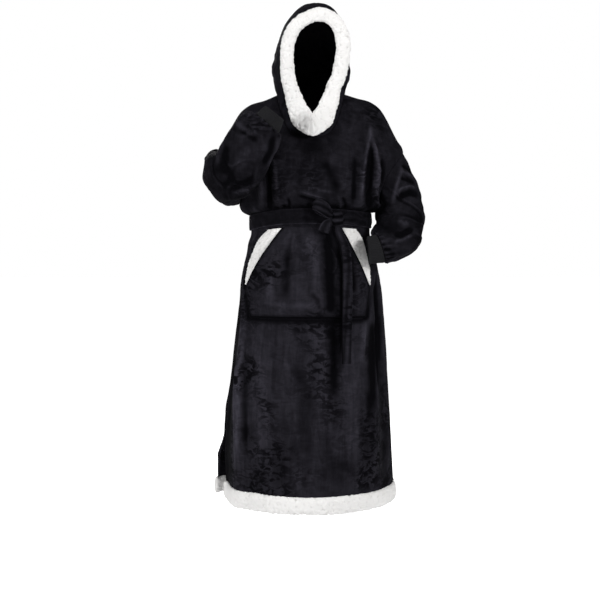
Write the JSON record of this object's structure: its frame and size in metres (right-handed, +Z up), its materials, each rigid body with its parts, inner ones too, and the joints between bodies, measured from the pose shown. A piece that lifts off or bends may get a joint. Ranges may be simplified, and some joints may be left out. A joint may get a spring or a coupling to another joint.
{
  "type": "wearable blanket hoodie",
  "caption": "Long hooded wearable blanket in black fleece, worn form, with sherpa trims, kangaroo pocket, side vents and tie belt.",
  "frame": {"origin": "on the shoulder line, at the middle of the neck opening", "axes": "+Z up towards the hood, -Y towards the garment's front, +X towards the wearer's left"},
  "size_m": [0.6446, 0.5999, 1.4798],
  "materials": {
    "black_fleece": "matte",
    "black_rib": "matte",
    "white_sherpa": "matte"
  },
  "bodies": {
    "root": {"front_panel": "black_fleece", "back_panel": "black_fleece", "sleeve_raised": "black_fleece", "sleeve_lowered": "black_fleece", "hood_right": "black_fleece", "hood_left": "black_fleece", "pocket": "black_fleece", "belt": "black_fleece", "belt_knot": "black_fleece", "belt_loop": "black_fleece", "belt_short_end": "black_fleece", "belt_long_end": "black_fleece", "cuff_raised": "black_rib", "cuff_lowered": "black_rib", "hood_trim": "white_sherpa", "hem_trim_front": "white_sherpa", "hem_trim_back": "white_sherpa", "pocket_facing_right": "white_sherpa", "pocket_facing_left": "white_sherpa"}
  },
  "joints": []
}
